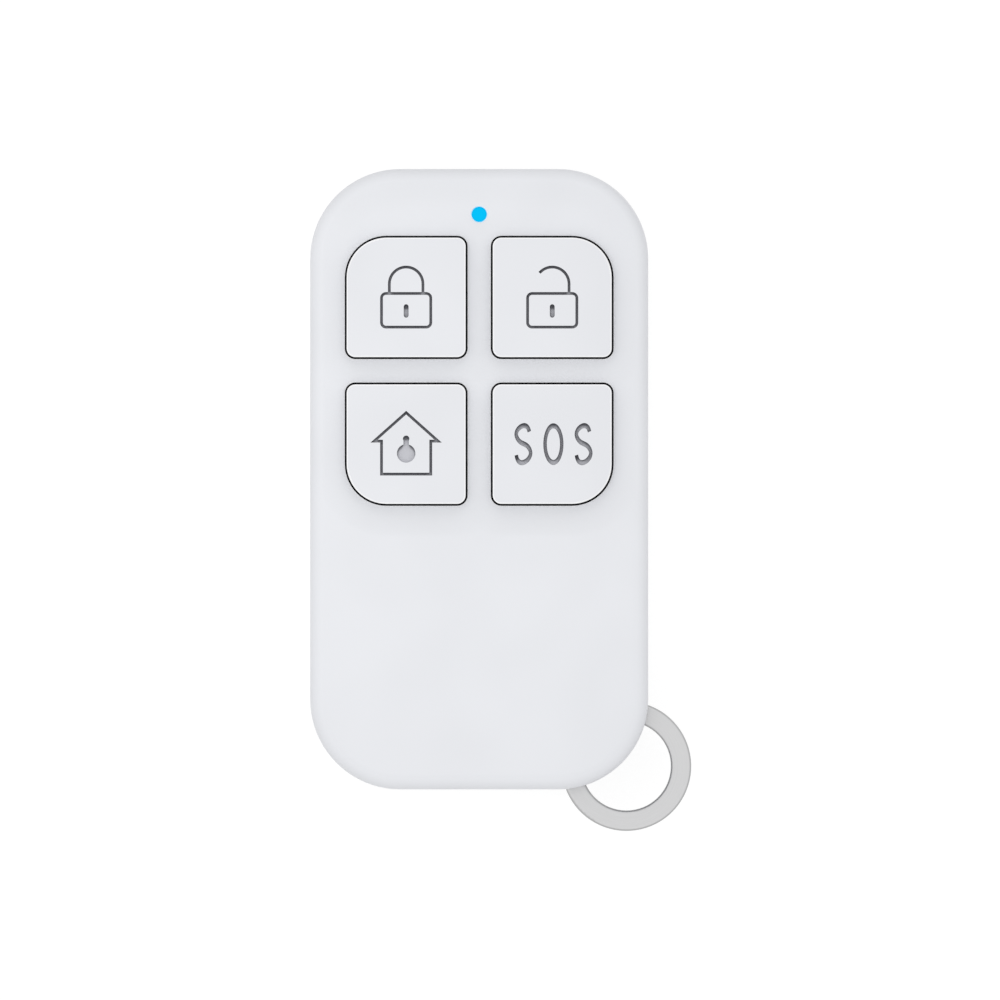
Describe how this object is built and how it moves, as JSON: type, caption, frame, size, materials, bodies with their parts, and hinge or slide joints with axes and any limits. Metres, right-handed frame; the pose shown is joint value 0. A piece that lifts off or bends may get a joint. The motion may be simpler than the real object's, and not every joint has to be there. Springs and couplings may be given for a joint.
{
  "type": "alarm key fob",
  "caption": "Flat alarm key fob with padlock, open padlock, house and SOS keys, a blue lamp, a coin-cell cover on the back and a split ring through one corner.",
  "frame": {"origin": "centre of the case's flat back face, which the fob lies on", "axes": "+Z out of the front face through the keys, +Y along the case towards the lamp, +X across it towards the side where the key ring is"},
  "size_m": [0.0356, 0.0619, 0.0104],
  "materials": {
    "case_plastic": "fine satin moulded ABS, cool white",
    "key_plastic": "fine satin moulded ABS, cool white, signs filled with grey",
    "mat_rubber": "dark grey silicone",
    "lamp_lens": "clear light pipe lit blue from below",
    "lamp_package": "white lamp package",
    "board_laminate": "green solder mask",
    "copper": "etched copper under a thin lacquer",
    "black_epoxy": "moulded epoxy package",
    "tinned_metal": "tinned leads and terminals",
    "steel": "plated steel",
    "ring_steel": "satin nickel-plated spring steel",
    "chip_ceramic": "ceramic capacitor body",
    "resistor_coat": "coated resistor body",
    "switch_plastic": "heat-proof black nylon",
    "plunger_plastic": "pale nylon",
    "gasket_plastic": "blue sealing ring",
    "seal_rubber": "black rubber"
  },
  "bodies": {
    "case": {"back_shell": "case_plastic", "case_screws": "steel", "cell_gasket": "gasket_plastic", "chip_capacitors": "chip_ceramic", "chip_leads": "tinned_metal", "chip_resistors": "resistor_coat", "circuit_board": "board_laminate", "coin_cell": "steel", "encoder_chip": "black_epoxy", "front_shell": "case_plastic", "home_switch_base": "switch_plastic", "home_switch_plate": "steel", "indicator_lamp": "lamp_package", "key_mat": "mat_rubber", "light_pipe": "lamp_lens", "lock_switch_base": "switch_plastic", "lock_switch_plate": "steel", "loop_antenna": "copper", "negative_contact": "steel", "passive_terminals": "tinned_metal", "positive_contact": "steel", "resonator": "steel", "sos_switch_base": "switch_plastic", "sos_switch_plate": "steel", "transistor": "black_epoxy", "unlock_switch_base": "switch_plastic", "unlock_switch_plate": "steel"},
    "battery_cover": {"battery_cover": "case_plastic", "cover_seal": "seal_rubber"},
    "key_ring": {"key_ring": "ring_steel"},
    "lock_key": {"lock_key": "key_plastic", "lock_plunger": "plunger_plastic"},
    "unlock_key": {"unlock_key": "key_plastic", "unlock_plunger": "plunger_plastic"},
    "home_key": {"home_key": "key_plastic", "home_plunger": "plunger_plastic"},
    "sos_key": {"sos_key": "key_plastic", "sos_plunger": "plunger_plastic"}
  },
  "joints": [
    {"name": "lock_press", "type": "slide", "parent": "case", "child": "lock_key", "axis": [0, 0, -1], "range_m": [0, 0.00025], "stiffness_N_per_m": 2000, "springref_m": -0.0004, "deforming": ["key_mat"]},
    {"name": "unlock_press", "type": "slide", "parent": "case", "child": "unlock_key", "axis": [0, 0, -1], "range_m": [0, 0.00025], "stiffness_N_per_m": 2000, "springref_m": -0.0004, "deforming": ["key_mat"]},
    {"name": "home_press", "type": "slide", "parent": "case", "child": "home_key", "axis": [0, 0, -1], "range_m": [0, 0.00025], "stiffness_N_per_m": 2000, "springref_m": -0.0004, "deforming": ["key_mat"]},
    {"name": "sos_press", "type": "slide", "parent": "case", "child": "sos_key", "axis": [0, 0, -1], "range_m": [0, 0.00025], "stiffness_N_per_m": 2000, "springref_m": -0.0004, "deforming": ["key_mat"]},
    {"name": "cover_turn", "type": "hinge", "parent": "case", "child": "battery_cover", "pos_m": [0, -0.0065, 0], "axis": [0, 0, -1], "range_deg": [0, 40]},
    {"name": "ring_spin", "type": "hinge", "parent": "case", "child": "key_ring", "pos_m": [0.01378, -0.02686, 0.0046], "axis": [0, 0, 1], "continuous": true}
  ]
}
